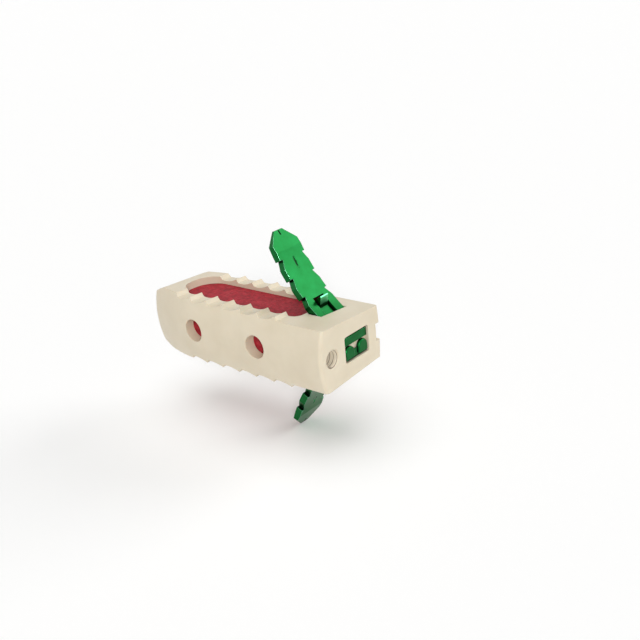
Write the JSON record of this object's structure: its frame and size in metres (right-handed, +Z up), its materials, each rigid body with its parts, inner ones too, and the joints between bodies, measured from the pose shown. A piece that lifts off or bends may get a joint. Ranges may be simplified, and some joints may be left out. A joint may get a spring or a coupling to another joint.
{
  "type": "spinal interbody cage",
  "caption": "Wedge-shaped toothed interbody cage with a filled graft chamber, side windows and curved barbed anchor plates that slide out through the end to lock into the bone above and below.",
  "frame": {"origin": "middle of the cage body's length, width and height", "axes": "+X out of the end face that the instruments hold, -X to the bullet nose, -Y to the taller front wall, +Z up towards the vertebra above"},
  "size_m": [0.05, 0.0184, 0.0417],
  "materials": {
    "peek": "beige PEEK, machined and tumbled to a soft satin",
    "graft": "moist crimson packed bone graft, granular",
    "tantalum": "bare tantalum pins, satin grey",
    "green_titanium": "anodised titanium, satin green"
  },
  "bodies": {
    "root": {"cage_body": "peek", "bone_graft": "graft", "marker_pins": "tantalum", "upper_anchor_plate": "green_titanium", "lower_anchor_plate": "green_titanium"}
  },
  "joints": []
}
